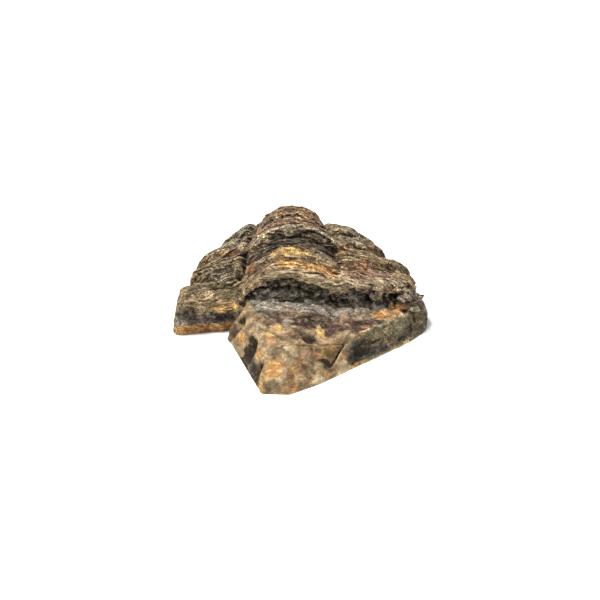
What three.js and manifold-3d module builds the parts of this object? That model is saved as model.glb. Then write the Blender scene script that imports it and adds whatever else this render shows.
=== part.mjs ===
// Trilobite fossil: one lump of weathered stone that holds most of a trilobite.
// Millimetres, +Z up. The head points towards -Y and the body arches over and down towards +Y.
//
// The whole lump is one field over space, positive inside the stone. The body is measured in
// hoops: s runs back along the body and r is the height above the ground. Behind the bend the
// hoops turn like a fan about a line on the ground, so that the tail comes down to it.

import * as THREE from "three";
import Module from "manifold-3d";

// Frame: the origin is under the middle of the stone, on the ground.
const ORIGIN = { x: 2.1, y: 24.45 };

// Driving dimensions of the body.
const FACE_Y = 20.5; // the broken front face of the body
const BEND_Y = 31; // behind this line the hoops turn
const BEND_RADIUS = 17; // arc length for each radian of the fan
const BAND_START = 20.4; // front edge of the first band
const BAND_PITCH = 4.65; // one body segment
const RING_START = 29.3; // front edge of the first whole ring
const RING_HEIGHT = 0.75;
const BAND_HEIGHT = 0.85;
const TRENCH = { from: 25.6, to: 29.6, depth: 1.8 }; // a ring that has broken away
const LEDGE = { at: 23.5, rise: 0.35 }; // step between the two worn front rings
const FURROW_WIDTH = 0.8; // furrow between the axis and the side lobes
const LEFT_LEAN = 0.12; // how far the flanks lean in for each millimetre up
const RIGHT_LEAN = 0.03;

// Hoop stations: s, crest height, half width and centre of the axis, height at the left and
// right furrows, and how far the side lobes fall in their first 10 mm, left and right.
const STATIONS = [
  [20.5, 13.7, 9.8, 0.1, 8.8, 10.5, 0.6, 0.2],
  [25.0, 16.2, 9.2, 0.4, 10.3, 12.4, 1.5, 1.2],
  [30.0, 17.7, 8.5, 0.5, 12.5, 13.8, 3.2, 2.4],
  [34.0, 18.1, 7.8, 0.4, 14.2, 14.5, 6.0, 3.6],
  [38.0, 18.2, 7.0, 0.4, 14.9, 15.0, 7.5, 4.6],
  [43.0, 18.1, 6.2, 0.4, 15.3, 15.2, 8.0, 6.0],
  [48.0, 17.7, 5.2, 0.5, 15.3, 15.2, 7.0, 6.0],
  [53.0, 16.9, 4.2, 0.6, 15.1, 15.1, 6.0, 5.0],
  [58.0, 15.9, 3.4, 0.6, 14.8, 14.8, 5.0, 5.0],
];

// How far each band reaches from the middle line, from the head back to the tail.
const LEFT_REACH = [22.8, 20.2, 19.4, 15.7, 13.8, 12.6, 11.6, 10.6, 9.6, 8.8];
const RIGHT_REACH = [24.4, 23.5, 18.9, 18.3, 17.2, 15.6, 13.6, 11.8, 10.2, 9.0];

// The left end of the front band is broken off slantwise. It is upright below a ledge, which climbs
// towards the left end, and a sloping shoulder above it.
const LEFT_FACE = { fromX: -10.2, y: 21.1, slant: 0.18, ledge: 4.6, climb: 0.2, back: 0.95 };

// Driving dimensions of the head, a low block in front of the body.
const HEAD_HEIGHT = 5.0; // the first rise behind the margin
const HEAD_CROWN = 1.6; // the slow rise after it
const HEAD_BACK = 22.0; // it runs in under the body
const HEAD_END_X = 26.7; // the right cheek corner
const MARGIN = { start: 1.1, slope: 0.42, bend: 0.0215, straight: 8 }; // front margin: y over x
const CHEEK_RIDGE = { foot: 0.5, slope: 2.1, height: 5.3, rise: 0.06 };
const GLABELLA = { x: -0.2, turn: -0.09, half: 3.1, spread: 0.4, rise: 0.9, furrow: 0.6 };

// The left side of the head is a broken wall between two corners. It leans in with height.
const WALL_BACK = new THREE.Vector2(-11.6, 18.1);
const WALL_FRONT = new THREE.Vector2(-4.85, 0.9);
const WALL_LEAN = 0.42;
const SKIRT = { lean: 0.2, height: 1.2, back: 18.4 };

// Lobes (out) and furrows (in) down that wall: place, half width, how far out.
const WALL_FORMS = [
  [20.6, 1.6, -2.4],
  [17.9, 0.9, 0.7],
  [16.3, 0.7, -1.2],
  [14.2, 1.4, 1.0],
  [7.4, 0.9, 0.5],
  [3.6, 0.9, 0.5],
];
const WALL_SCAR = { from: 18, to: 19.4, depth: 1.8 }; // the foot of the wall is lost at its back end

// Two deep furrows in the wall, wide at the foot and narrow at the top.
const WALL_FURROWS = [
  { foot: 9.3, head: 11.0, wide: 2.1, narrow: 1.3, top: 5.9, depth: 2.3 },
  { foot: 5.6, head: 5.3, wide: 1.8, narrow: 0.7, top: 4.9, depth: 2.1 },
];

// A thin plate of shell stands off the right cheek.
const FLAKE = {
  corners: [new THREE.Vector2(4.8, 8.4), new THREE.Vector2(9.6, 10.3), new THREE.Vector2(8.1, 7.3)],
  top: { z: 5.35, alongX: -0.42, alongY: 0.784 },
  crack: { offset: -0.5, width: 0.5, depth: 1.2 },
};

// Breaks in the face of the body: a dark hollow under the arch of the axis, the hollow side band
// to the right of it, and a smooth lens that swells out of the first.
const ARCH = { middle: 0.4, half: 8.9, rim: 1.2, depth: 1.6, floor: 5.7 };
const SIDE = { start: 9.6, top: 9.0, climb: 0.17, highest: 10.0, depth: 1.5 };
const LENS = { x: -2.2, z: 7.8, half: 5.8, tall: 1.5, out: 1.2 };

// Small rounded forms: from, to, and the radius at each end. The first pit is the crack at the
// foot of the arch.
const PITS = [
  [[-5.0, 20.2, 6.4], [2.4, 20.9, 6.9], 0.75, 0.6],
  [[-8.9, 26.2, 12.4], [-8.4, 28.6, 13.2], 0.8, 0.8],
  [[-11.0, 22.6, 8.4], [-10.2, 23.6, 9.2], 1.0, 1.0],
  [[17.6, 21.2, 7.6], [21.6, 21.8, 6.9], 0.6, 1.0],
  [[22.2, 20.4, 5.3], [24.6, 21.0, 5.0], 0.8, 0.7],
  [[8.8, 36.0, 14.0], [10.2, 36.6, 13.6], 0.9, 0.9],
];
const LUMPS = [
  [[20.8, 21.5, 5.9], [24.2, 20.5, 6.0], 1.0, 0.8],
  [[-11.3, 17.9, 0.4], [-11.6, 17.8, 0.6], 0.6, 0.6],
  [[22.0, 22.4, 7.2], [25.4, 22.6, 6.5], 1.6, 0.6],
];

// Mesh cells. The forms of the body run across it, so the cells are longer along X.
const CELL = new THREE.Vector3(1.3, 0.9, 0.9);
const LOW = new THREE.Vector3(-26, -2, -2.6);
const HIGH = new THREE.Vector3(30, 52, 21);
const UNDERSIDE = -1.3; // the field goes on this far below the flat base

function smooth(from, to, value) {
  return THREE.MathUtils.smoothstep(value, from, to);
}

function bell(value, at, width) {
  return Math.exp(-(((value - at) / width) ** 2));
}

// Minimum of two distances with a rounded edge, k wide.
function meet(a, b, k) {
  const h = Math.max(k - Math.abs(a - b), 0) / k;
  return Math.min(a, b) - h * h * k * 0.25;
}

function join(a, b, k) {
  return -meet(-a, -b, k);
}

function capsule(x, y, z, [from, to, startRadius, endRadius]) {
  const point = new THREE.Vector3(x, y, z);
  const start = new THREE.Vector3(...from);
  const along = new THREE.Vector3(...to).sub(start);
  const t = THREE.MathUtils.clamp(point.clone().sub(start).dot(along) / along.lengthSq(), 0, 1);
  const distance = point.distanceTo(start.addScaledVector(along, t));
  return THREE.MathUtils.lerp(startRadius, endRadius, t) - distance;
}

// The row of STATIONS at s, between its neighbours.
function stationAt(s) {
  const last = STATIONS.length - 1;
  if (s <= STATIONS[0][0]) return STATIONS[0];
  if (s >= STATIONS[last][0]) return STATIONS[last];
  const k = STATIONS.findIndex((row) => row[0] > s);
  const t = (s - STATIONS[k - 1][0]) / (STATIONS[k][0] - STATIONS[k - 1][0]);
  return STATIONS[k].map((value, column) => THREE.MathUtils.lerp(STATIONS[k - 1][column], value, t));
}

// Rings of the axis: a ledge, the trench of a lost ring, then whole rings.
function ringRelief(s) {
  const ledge = LEDGE.rise * smooth(LEDGE.at - 0.3, LEDGE.at + 0.5, s);
  const trench = smooth(TRENCH.from, TRENCH.from + 0.8, s) * (1 - smooth(TRENCH.to - 0.8, TRENCH.to, s));
  if (s < RING_START) return ledge - TRENCH.depth * trench;
  const turn = (s - RING_START) / BAND_PITCH;
  const p = turn - Math.floor(turn);
  const rise = smooth(0, 0.2, p) * (1 - 0.5 * smooth(0.2, 0.8, p));
  const groove = smooth(0.74, 0.88, p) * (1 - smooth(0.96, 1, p));
  return ledge - TRENCH.depth * trench + RING_HEIGHT * (rise - 0.9 * groove) - 0.35;
}

// One band of a side lobe: a steep front edge, a slow fall and the groove before the next band.
function bandRelief(p) {
  const rise = smooth(0, 0.2, p) * (1 - 0.55 * smooth(0.2, 0.8, p));
  return BAND_HEIGHT * (rise - 0.75 * smooth(0.72, 0.88, p) - 0.35);
}

// The reach steps from band to band high on the flank and runs evenly near the ground, where the
// hoops of the fan crowd together.
function reachOf(table, band, p, r) {
  const stepped = THREE.MathUtils.lerp(table[band], table[band + 1], smooth(0.7, 1, p));
  const bulge = 0.6 * Math.sin(Math.PI * p) ** 0.6 - 0.5;
  const even = THREE.MathUtils.lerp(table[band], table[band + 1], p) - 0.3;
  return THREE.MathUtils.lerp(even, stepped + bulge, smooth(3, 9, r));
}

// Height of the shell above the ground, measured along the hoop at s.
function shellTop(x, s, p, r) {
  const [, crest, half, centre, leftFloor, rightFloor, leftFall, rightFall] = stationAt(s);
  const left = x < centre;
  const aside = Math.abs(x - centre);
  const floor = THREE.MathUtils.lerp(leftFloor, rightFloor, smooth(-half, half, x - centre));
  const dome = Math.max(1 - (aside / half) ** 2, 0) ** 1.1;
  const out = Math.max(aside - half, 0) / 10;
  const furrow = left ? 0.9 : 0.15 + 0.75 * smooth(26, 34, s);
  const onLobe = smooth(half - 0.6, half + 0.4, aside);
  const relief = THREE.MathUtils.lerp(ringRelief(s), bandRelief(p), onLobe) * smooth(1, 6, r);
  const fall = (left ? leftFall : rightFall) * out * out;
  return floor + (crest - floor) * dome - fall - furrow * bell(aside, half, FURROW_WIDTH) + relief;
}

// Place of the broken front face, over the width and the height of the stone.
function faceAt(x, z) {
  const rim = 8.8 + 4.9 * Math.max(1 - (x / 9.8) ** 2, 0) ** 1.1 - ARCH.rim;
  const inside = smooth(0, 0.9, ARCH.half - Math.abs(x - ARCH.middle));
  const arch = ARCH.depth * smooth(-0.4, 2, rim - z) * inside;
  const top = Math.min(SIDE.top + SIDE.climb * (x - SIDE.start), SIDE.highest);
  const side = SIDE.depth * smooth(-0.6, 1.8, top - z) * smooth(-1.5, 1, x - SIDE.start);
  const swell = 1 - ((x - LENS.x) / LENS.half) ** 2 - ((z - LENS.z) / LENS.tall) ** 2;
  const hollow = Math.max(arch, side) - LENS.out * Math.sqrt(Math.max(swell, 0));
  const front = FACE_Y + hollow * smooth(-0.5, 0.5, z - ARCH.floor);
  const aside = x - LEFT_FACE.fromX;
  const ledge = LEFT_FACE.ledge - LEFT_FACE.climb * aside;
  const slant = LEFT_FACE.y + LEFT_FACE.slant * aside;
  const shoulder = slant + LEFT_FACE.back * Math.max(z - ledge, 0);
  return THREE.MathUtils.lerp(shoulder, front, smooth(-0.7, 0.5, aside));
}

function thorax(x, y, z) {
  const behind = Math.max(y - BEND_Y, 0);
  const r = behind > 0 ? Math.hypot(behind, z) : z;
  const turn = behind > 0 ? Math.atan2(behind, z) : 0;
  const s = Math.min(y, BEND_Y) + BEND_RADIUS * turn - 0.006 * Math.max(Math.abs(x) - 9, 0) ** 2;
  const turns = (s - BAND_START) / BAND_PITCH;
  const band = THREE.MathUtils.clamp(Math.floor(turns), 0, LEFT_REACH.length - 2);
  const p = THREE.MathUtils.clamp(turns - band, 0, 1);
  const reach = reachOf(x < 0 ? LEFT_REACH : RIGHT_REACH, band, p, r);
  const flank = reach - Math.abs(x) - (x < 0 ? LEFT_LEAN : RIGHT_LEAN) * r;
  const body = meet(shellTop(x, s, p, r) - r, flank, 2 + 2 * smooth(24, 38, s));
  return meet(body, y - faceAt(x, z), 0.8 + 1.6 * (1 - smooth(-11, -9.4, x)));
}

function marginDistance(x, y) {
  const { start, slope, bend, straight } = MARGIN;
  const bent = THREE.MathUtils.clamp(x, 0, straight);
  const steep = x > 0 ? slope + 2 * bend * bent : 0;
  const edge = start + slope * bent + bend * bent * bent + steep * Math.max(x - straight, 0);
  return (y - edge) / Math.hypot(1, steep);
}

// Height of the head over its margin: a rounded front, a crisp ridge on the cheek, the swollen
// middle lobe and the furrow beside it.
function headTop(x, y, margin) {
  const onCheek = smooth(9, 15, x);
  const inset = Math.max(margin, 0);
  const front = 2.2 - smooth(3, 14, x);
  const round = HEAD_HEIGHT * (1 - Math.exp(-inset / front)) + HEAD_CROWN * (1 - Math.exp(-inset / 5));
  const ridgeTop = CHEEK_RIDGE.height + CHEEK_RIDGE.rise * inset;
  const crisp = meet(CHEEK_RIDGE.foot + CHEEK_RIDGE.slope * inset, ridgeTop, 0.9);
  const g = (x - GLABELLA.x - GLABELLA.turn * y) / (GLABELLA.half + GLABELLA.spread * y);
  const lobe = GLABELLA.rise * Math.max(1 - g * g, 0);
  const furrow = GLABELLA.furrow * bell(g, 1.02, 0.14) * (1 - onCheek);
  return THREE.MathUtils.lerp(round, crisp, onCheek) + lobe - furrow - 0.9 * smooth(18, 27, x);
}

// Distances inside the three edges of the flake, seen from above.
function flakeEdges(x, y) {
  return FLAKE.corners.map((corner, k) => {
    const edge = FLAKE.corners[(k + 1) % 3].clone().sub(corner).normalize();
    return (x - corner.x) * edge.y - (y - corner.y) * edge.x;
  });
}

function withFlake(height, x, y) {
  const [upper, right, lower] = flakeEdges(x, y);
  const start = FLAKE.corners[0];
  const { z, alongX, alongY } = FLAKE.top;
  const plate = z + alongX * (x - start.x) + alongY * (y - start.y);
  const { offset, width, depth } = FLAKE.crack;
  const besideRight = bell(right, offset, width) * smooth(-1, 0, upper) * smooth(-1, 0, lower);
  const besideLower = bell(lower, offset, width) * smooth(0, 1, upper) * smooth(-1, 0, right);
  const inside = smooth(-0.1, 0.3, Math.min(upper, right, lower));
  const cracked = height - depth * Math.max(besideRight, besideLower);
  return THREE.MathUtils.lerp(cracked, Math.max(height, plate), inside);
}

function wallFurrow(y, z, { foot, head, wide, narrow, top, depth }) {
  const part = THREE.MathUtils.clamp(z / top, 0, 1);
  const middle = THREE.MathUtils.lerp(foot, head, part);
  const aside = Math.abs(y - middle) / THREE.MathUtils.lerp(wide, narrow, part);
  return depth * (1 - smooth(0.3, 1.25, aside)) * (1 - smooth(top - 1.6, top + 0.3, z));
}

function wallRelief(y, z) {
  const { from, to, depth } = WALL_SCAR;
  const forms = WALL_FORMS.reduce((sum, [at, width, out]) => sum + out * bell(y, at, width), 0);
  const scar = depth * smooth(from, to, y) * (1 - smooth(0.3, 1.8, z));
  const furrow = Math.max(...WALL_FURROWS.map((form) => wallFurrow(y, z, form)));
  const raised = forms * smooth(0.3, 1.8, z) * (1 - 0.6 * smooth(4.2, 5.8, z));
  return raised - scar - furrow * smooth(0.2, 1, z);
}

function head(x, y, z) {
  const margin = marginDistance(x, y);
  const along = WALL_BACK.clone().sub(WALL_FRONT).normalize();
  const inward = (x - WALL_FRONT.x) * along.y - (y - WALL_FRONT.y) * along.x;
  const wall = inward - WALL_LEAN * z + wallRelief(y, z);
  const top = withFlake(headTop(x, y, margin), x, y) - z;
  const block = meet(meet(top, wall, 1.2), margin, 0.8);
  const apron = meet(meet(inward - SKIRT.lean * z, SKIRT.height - z, 0.6), margin, 0.6);
  const skirt = meet(apron, SKIRT.back - y, 0.6);
  const back = HEAD_BACK + 3.6 * smooth(16, 23, x) - y;
  return meet(meet(join(block, skirt, 0.4), back, 0.6), HEAD_END_X - x, 2.2);
}

function stone(x, y, z) {
  let f = join(thorax(x, y, z), head(x, y, z), 0.4);
  for (const pit of PITS) f = meet(f, -capsule(x, y, z, pit), 0.3);
  for (const lump of LUMPS) f = join(f, capsule(x, y, z, lump), 0.4);
  return Math.min(f, z - UNDERSIDE);
}

const CORNERS = [];
for (let c = 0; c < 8; c++) CORNERS.push([c & 1, (c >> 1) & 1, (c >> 2) & 1]);

// Where two parts of the stone touch only at a corner or an edge of the grid, the gap beside them
// is filled, so that the surface never touches itself.
function fillPinches(values, count, step) {
  const filled = 0.05;
  const offsets = CORNERS.map(([x, y, z]) => x * step[0] + y * step[1] + z * step[2]);
  const fillNearest = (places) => {
    const outer = places.filter((place) => values[place] <= 0);
    const nearest = outer.reduce((best, place) => (values[place] > values[best] ? place : best));
    values[nearest] = filled;
  };
  const isPinched = (a, b, c, d) => values[a] > 0 === values[c] > 0 && values[b] > 0 === values[d] > 0
    && values[a] > 0 !== values[b] > 0;
  let found = true;
  while (found) {
    found = false;
    for (let k = 0; k < count[2] - 1; k++) {
      for (let j = 0; j < count[1] - 1; j++) {
        for (let i = 0; i < count[0] - 1; i++) {
          const here = i * step[0] + j * step[1] + k * step[2];
          for (let axis = 0; axis < 3; axis++) {
            const u = step[axis];
            const v = step[(axis + 1) % 3];
            const square = [here, here + u, here + u + v, here + v];
            if (!isPinched(...square)) continue;
            fillNearest(square);
            found = true;
          }
          const cube = offsets.map((offset) => here + offset);
          const inside = cube.map((place) => values[place] > 0);
          const total = inside.filter(Boolean).length;
          const rare = total === 2 || total === 6;
          if (!rare || inside.some((value, c) => value !== inside[7 - c])) continue;
          fillNearest(cube);
          found = true;
        }
      }
    }
  }
}

// A closed mesh of the surface where the field is zero. Each cell that the surface crosses gets
// one vertex, at the mean of the crossings on its edges, and each crossed edge of the grid gets
// one four-sided face between the cells round it.
function surfaceMesh(field) {
  const span = HIGH.clone().sub(LOW).divide(CELL);
  const count = [Math.ceil(span.x) + 1, Math.ceil(span.y) + 1, Math.ceil(span.z) + 1];
  const step = [1, count[0], count[0] * count[1]];
  const place = (i, j, k) => i * step[0] + j * step[1] + k * step[2];
  const values = new Float64Array(count[0] * count[1] * count[2]);
  for (let k = 0; k < count[2]; k++) {
    for (let j = 0; j < count[1]; j++) {
      for (let i = 0; i < count[0]; i++) {
        values[place(i, j, k)] = field(LOW.x + i * CELL.x, LOW.y + j * CELL.y, LOW.z + k * CELL.z);
      }
    }
  }

  fillPinches(values, count, step);

  const positions = [];
  const vertexOf = new Int32Array(values.length).fill(-1);
  const edges = [];
  for (let a = 0; a < 8; a++) {
    for (const bit of [1, 2, 4]) {
      if (!(a & bit)) edges.push([a, a | bit]);
    }
  }
  for (let k = 0; k < count[2] - 1; k++) {
    for (let j = 0; j < count[1] - 1; j++) {
      for (let i = 0; i < count[0] - 1; i++) {
        const at = CORNERS.map(([x, y, z]) => values[place(i + x, j + y, k + z)]);
        const crossed = edges.filter(([a, b]) => at[a] > 0 !== at[b] > 0);
        if (crossed.length === 0) continue;
        const mean = new THREE.Vector3();
        for (const [a, b] of crossed) {
          const t = at[a] / (at[a] - at[b]);
          const start = new THREE.Vector3(...CORNERS[a]);
          mean.add(start.lerp(new THREE.Vector3(...CORNERS[b]), t));
        }
        mean.divideScalar(crossed.length).add(new THREE.Vector3(i, j, k)).multiply(CELL).add(LOW);
        vertexOf[place(i, j, k)] = positions.length / 3;
        positions.push(mean.x - ORIGIN.x, mean.y - ORIGIN.y, mean.z);
      }
    }
  }

  const index = [];
  for (let k = 1; k < count[2] - 1; k++) {
    for (let j = 1; j < count[1] - 1; j++) {
      for (let i = 1; i < count[0] - 1; i++) {
        const here = place(i, j, k);
        for (let axis = 0; axis < 3; axis++) {
          const inside = values[here] > 0;
          if (inside === values[here + step[axis]] > 0) continue;
          const u = step[(axis + 1) % 3];
          const v = step[(axis + 2) % 3];
          const ring = [here - u - v, here - v, here, here - u].map((cell) => vertexOf[cell]);
          if (!inside) ring.reverse();
          index.push(ring[0], ring[1], ring[2], ring[0], ring[2], ring[3]);
        }
      }
    }
  }
  const geometry = new THREE.BufferGeometry();
  geometry.setAttribute("position", new THREE.Float32BufferAttribute(positions, 3));
  geometry.setIndex(index);
  return geometry;
}

const wasm = await Module();
wasm.setup();

function toSolid(geometry) {
  const vertProperties = new Float32Array(geometry.getAttribute("position").array);
  const triVerts = new Uint32Array(geometry.getIndex().array);
  return new wasm.Manifold(new wasm.Mesh({ numProp: 3, vertProperties, triVerts }));
}

function toGeometry(solid) {
  const { vertProperties, triVerts } = solid.getMesh();
  const geometry = new THREE.BufferGeometry();
  geometry.setAttribute("position", new THREE.BufferAttribute(vertProperties, 3));
  geometry.setIndex(new THREE.BufferAttribute(triVerts, 1));
  geometry.computeVertexNormals();
  return geometry;
}

// A closed box whose corners are shared, which takes away all that is below the ground.
function groundBlock() {
  const depth = 6;
  const index = [
    0, 2, 1, 1, 2, 3, 4, 5, 6, 5, 7, 6, 0, 1, 4, 1, 5, 4,
    2, 6, 3, 3, 6, 7, 0, 4, 2, 2, 4, 6, 1, 3, 5, 3, 7, 5,
  ];
  const positions = [];
  for (let c = 0; c < 8; c++) {
    positions.push(c & 1 ? 40 : -40, c & 2 ? 40 : -40, c & 4 ? 0 : -depth);
  }
  const geometry = new THREE.BufferGeometry();
  geometry.setAttribute("position", new THREE.Float32BufferAttribute(positions, 3));
  geometry.setIndex(index);
  return geometry;
}

const stoneMaterial = new THREE.MeshStandardMaterial({ color: 0x816f58, roughness: 0.85, metalness: 0 });
const cut = toSolid(surfaceMesh(stone)).subtract(toSolid(groundBlock()));
const fossil = new THREE.Mesh(toGeometry(cut), stoneMaterial);
fossil.name = "trilobite_fossil";

const group = new THREE.Group();
group.add(fossil);

export default group;
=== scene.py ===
"""Trilobite fossil: one lump of weathered stone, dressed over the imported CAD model.

The stone is one field over space, positive inside it, in millimetres. The body is measured in
hoops: s runs back along the body and r is the height above the ground. Behind the bend the hoops
turn like a fan about a line on the ground. The field is meshed finely, its surface is roughened
by noise, and masks stored on its points steer one node material.
"""

import math
from types import SimpleNamespace

import bmesh
import bpy
import numpy as np
import openvdb
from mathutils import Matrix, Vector


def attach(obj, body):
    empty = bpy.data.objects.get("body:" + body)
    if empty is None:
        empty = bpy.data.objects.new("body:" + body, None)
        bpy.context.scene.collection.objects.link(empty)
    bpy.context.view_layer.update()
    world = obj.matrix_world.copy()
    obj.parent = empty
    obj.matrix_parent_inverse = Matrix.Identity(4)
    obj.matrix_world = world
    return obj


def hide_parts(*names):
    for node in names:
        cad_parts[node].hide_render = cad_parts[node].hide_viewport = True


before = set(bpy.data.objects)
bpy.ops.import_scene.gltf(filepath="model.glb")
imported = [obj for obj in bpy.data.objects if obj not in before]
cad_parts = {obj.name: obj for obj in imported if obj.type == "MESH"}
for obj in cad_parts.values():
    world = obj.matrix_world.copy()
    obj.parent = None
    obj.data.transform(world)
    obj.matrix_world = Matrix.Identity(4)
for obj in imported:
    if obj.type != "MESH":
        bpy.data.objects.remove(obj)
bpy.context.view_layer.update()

MM = 0.001
ORIGIN = np.array((2.1, 24.45, 0.0))  # design place of the frame's origin
GRID_STEP = 0.25
GRID_LOW = np.array((-24.5, -1.0, -0.9))
GRID_HIGH = np.array((28.5, 49.5, 19.9))
FIELD_REACH = 2.0  # how far from the surface the field is worked out
SEED = 11

# Driving dimensions of the body, in millimetres.
FACE_Y = 20.5
BEND_Y = 31.0
BEND_RADIUS = 17.0
SWEEP = (9.0, 0.006)  # the ends of the hoops bend backwards: from how far aside, and how much
DOME_POWER = 1.1
BAND_START = 20.4
BAND_PITCH = 4.65
RING_START = 29.3
RING_HEIGHT = 0.75
RING_SUNK = 0.35
BAND_HEIGHT = 0.85
SUNK = 0.35  # the share of a band's or a layer's height that lies below the plain surface
TRENCH = (25.6, 29.6, 1.8)  # from, to, depth
LEDGE = (23.5, 0.35)  # place, rise
FURROW_WIDTH = 0.8
LEFT_LEAN = 0.12
RIGHT_LEAN = 0.03
THIN_GROOVES = ((21.35, 0.28, 0.35), (23.45, 0.25, 0.4))  # across the front rings: s, width, depth
THIN_LAYER = (26.6, 0.3, 0.9)  # a leaf of shell left standing in the trench

# Hoop stations: s, crest, half width and centre of the axis, height at the left and right
# furrows, and how far the side lobes fall in their first 10 mm, left and right.
STATIONS = np.array((
    (20.5, 13.7, 9.8, 0.1, 8.8, 10.5, 0.6, 0.2),
    (25.0, 16.2, 9.2, 0.4, 10.3, 12.4, 1.5, 1.2),
    (30.0, 17.7, 8.5, 0.5, 12.5, 13.8, 3.2, 2.4),
    (34.0, 18.1, 7.8, 0.4, 14.2, 14.5, 6.0, 3.6),
    (38.0, 18.2, 7.0, 0.4, 14.9, 15.0, 7.5, 4.6),
    (43.0, 18.1, 6.2, 0.4, 15.3, 15.2, 8.0, 6.0),
    (48.0, 17.7, 5.2, 0.5, 15.3, 15.2, 7.0, 6.0),
    (53.0, 16.9, 4.2, 0.6, 15.1, 15.1, 6.0, 5.0),
    (58.0, 15.9, 3.4, 0.6, 14.8, 14.8, 5.0, 5.0),
))
LEFT_REACH = np.array((22.8, 20.2, 19.4, 15.7, 13.8, 12.6, 11.6, 10.6, 9.6, 8.8))
RIGHT_REACH = np.array((24.4, 23.5, 18.9, 18.3, 17.2, 15.6, 13.6, 11.8, 10.2, 9.0))
LEFT_FACE = {"x": -10.2, "y": 21.1, "slant": 0.18, "ledge": 4.6, "climb": 0.2, "back": 0.95}

# Driving dimensions of the head.
HEAD_HEIGHT = 5.0
HEAD_CROWN = 1.6
HEAD_BACK = 22.0
HEAD_END_X = 26.7
MARGIN = (1.1, 0.42, 0.0215, 8.0)  # y over x: start, slope, bend, and where the bend ends
RIDGE = {"foot": 0.5, "slope": 2.1, "height": 5.3, "rise": 0.06}
GLABELLA = {"x": -0.2, "turn": -0.09, "half": 3.1, "spread": 0.4, "rise": 0.9, "furrow": 0.6}
# The head's broken left side leans inwards over a line on the ground, from back to front.
WALL_BACK = np.array((-11.6, 18.1))
WALL_FRONT = np.array((-4.85, 0.9))
WALL_LEAN = 0.42
SKIRT = {"lean": 0.2, "height": 0.8, "back": 18.4}  # the low foot of that side
WALL_FORMS = (  # along the left side of the head: y, width, how far out
    (20.6, 1.6, -2.4), (17.9, 0.9, 0.7), (16.3, 0.6, -1.3),
    (14.2, 1.3, 0.9), (7.4, 0.9, 0.4), (3.6, 0.9, 0.4),
)
WALL_FURROWS = (  # y on the ground and at the top, half width at both, height of the top, depth
    (9.3, 11.0, 2.1, 1.2, 5.9, 2.3),
    (5.6, 5.3, 1.8, 0.4, 4.9, 2.1),
)
FLAKE_CORNERS = np.array(((3.8, 8.3), (9.6, 10.3), (7.9, 7.8)))
FLAKE_TOP = (5.7, -0.42, 0.784)  # height at the first corner, slope along X and along Y
FLAKE_CRACK = (-0.3, 0.26, 1.3)  # offset, width, depth

# Breaks in the front face of the body: a dark hollow under the arch of the axis and the side band.
ARCH = {"middle": 0.4, "half": 8.9, "rim": 1.2, "depth": 1.6, "floor": 5.7}
SIDE = {"start": 9.6, "top": 9.0, "climb": 0.17, "highest": 10.0, "depth": 1.2}
LENS = {"x": -2.2, "z": 7.8, "half": 5.8, "tall": 1.5, "out": 1.2}
# Holes and lumps: where one starts and ends, and its radius at both.
PITS = (
    ((-5, 20.2, 6.4), (2.4, 20.9, 6.9), 0.75, 0.6),
    ((-8.9, 26.2, 12.4), (-8.4, 28.6, 13.2), 0.8, 0.8),
    ((-11, 22.6, 8.4), (-10.2, 23.6, 9.2), 1, 1),
    ((17.6, 21.2, 7.6), (21.6, 21.8, 6.9), 0.6, 1),
    ((22.2, 20.4, 5.3), (24.6, 21, 5), 0.8, 0.7),
    ((12, 21.6, 7.4), (14.6, 21.8, 7), 0.5, 0.6),
    ((8.8, 36, 14), (10.2, 36.6, 13.6), 0.9, 0.9),
    ((2.2, 15.9, 7.4), (4.4, 15.4, 6.9), 0.35, 0.5),
    ((4.4, 15.4, 6.9), (7.6, 14.4, 6.1), 0.5, 0.45),
    ((7.6, 14.4, 6.1), (10.4, 13.9, 5.9), 0.45, 0.3),
    ((12.6, 13.6, 5.7), (16.5, 15.6, 5.5), 0.3, 0.3),
    ((23.4, 18.9, 1.6), (23.2, 20.6, 5.4), 0.3, 0.35),
    ((2.2, 11, 6.9), (3.6, 9.6, 6.3), 0.4, 0.7),
    ((3.6, 9.6, 6.3), (6, 9.8, 5.1), 0.7, 0.3),
)
LUMPS = (
    ((20.8, 21.5, 5.9), (24.2, 20.5, 6), 1, 0.8),
    ((-10.9, 17.7, 0.4), (-11.2, 17.6, 0.6), 0.6, 0.6),
    ((22, 22.4, 7.2), (25.4, 22.6, 6.5), 1.6, 0.6),
    ((-17.2, 21.7, 6.6), (-14.8, 21.9, 6.6), 0.9, 0.9),
)
# Knots that the layers of the shell bend round: place, half widths, how far the layers move.
KNOTS = (
    ((-15.9, 21.3, 7), (2.2, 1.3, 1.2), 1.5),
    ((-10.6, 31.4, 12.6), (2, 1.8, 1.4), 0.6),
    ((15, 22.8, 11.3), (2.6, 1.6, 1.4), 1.3),
    ((12.5, 29, 13.5), (2, 1.6, 1.4), 1.4),
    ((-6.2, 22.6, 11.6), (2, 1, 1.4), 1),
)

# Noise on the surface: how far it reaches, in millimetres, and the size of its cells.
WARPS = ((0.34, 4.1), (0.15, 1.7))
HOLES = (1.1, (1.5, 1.2, 0.8))
GRAINS = (0.42, (0.9, 0.8, 0.6))
JOINT = {"y": 20.7, "z": 6.1, "depth": 0.9}  # the crevice between the head and the body
# Layers of shell: spacing, height, strength of the painted shade in the cracks and of the painted highlight
# on the edges, first noise.
LAYERS = ((1.35, 0.5, 1.0, 1.0, 0), (0.75, 0.3, 0.9, 0.8, 3))
HOLLOW_ROUNDS = (3, 20)  # rounds of smoothing that show fine and broad hollows
# Stretch of the coordinates that run with the grain: along the body, and on the head.
FLOW_ALONG = 1.5
HEAD_FLOW = np.array((0.6, 1.1, 1.2))


def smooth(low, high, value):
    t = np.clip((value - low) / (high - low), 0, 1)
    return t * t * (3 - 2 * t)


def fade(low, high, value):
    return 1 - smooth(low, high, value)


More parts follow.
